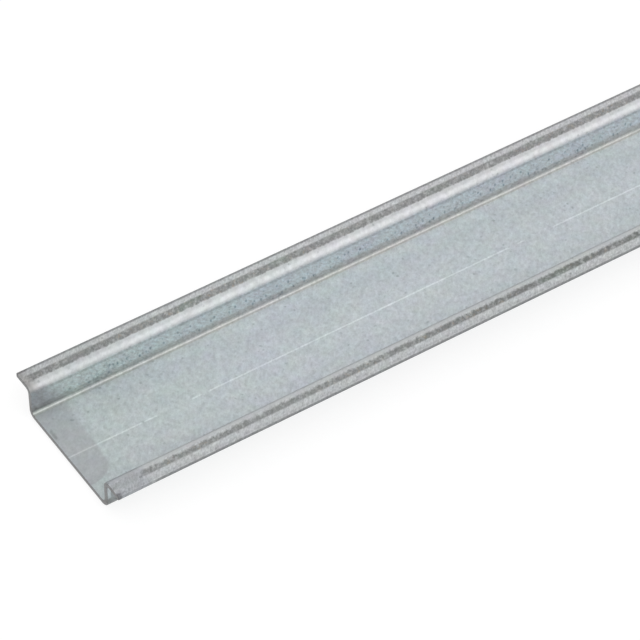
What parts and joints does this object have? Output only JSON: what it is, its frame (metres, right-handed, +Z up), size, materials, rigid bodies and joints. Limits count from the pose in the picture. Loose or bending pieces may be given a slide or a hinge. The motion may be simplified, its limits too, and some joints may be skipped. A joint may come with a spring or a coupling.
{
  "type": "din rail",
  "caption": "Unslotted top-hat mounting rail of thin zinc-plated sheet steel: a shallow channel with an outward flange on each side that clip-on devices hook over.",
  "frame": {"origin": "middle of the underside of the base, halfway along the rail", "axes": "+X along the rail, +Y across it, +Z up from the base towards the flanges"},
  "size_m": [1, 0.035, 0.0075],
  "materials": {
    "zinc_plate": "blue-passivated zinc plate, satin"
  },
  "bodies": {
    "root": {"rail": "zinc_plate"}
  },
  "joints": []
}
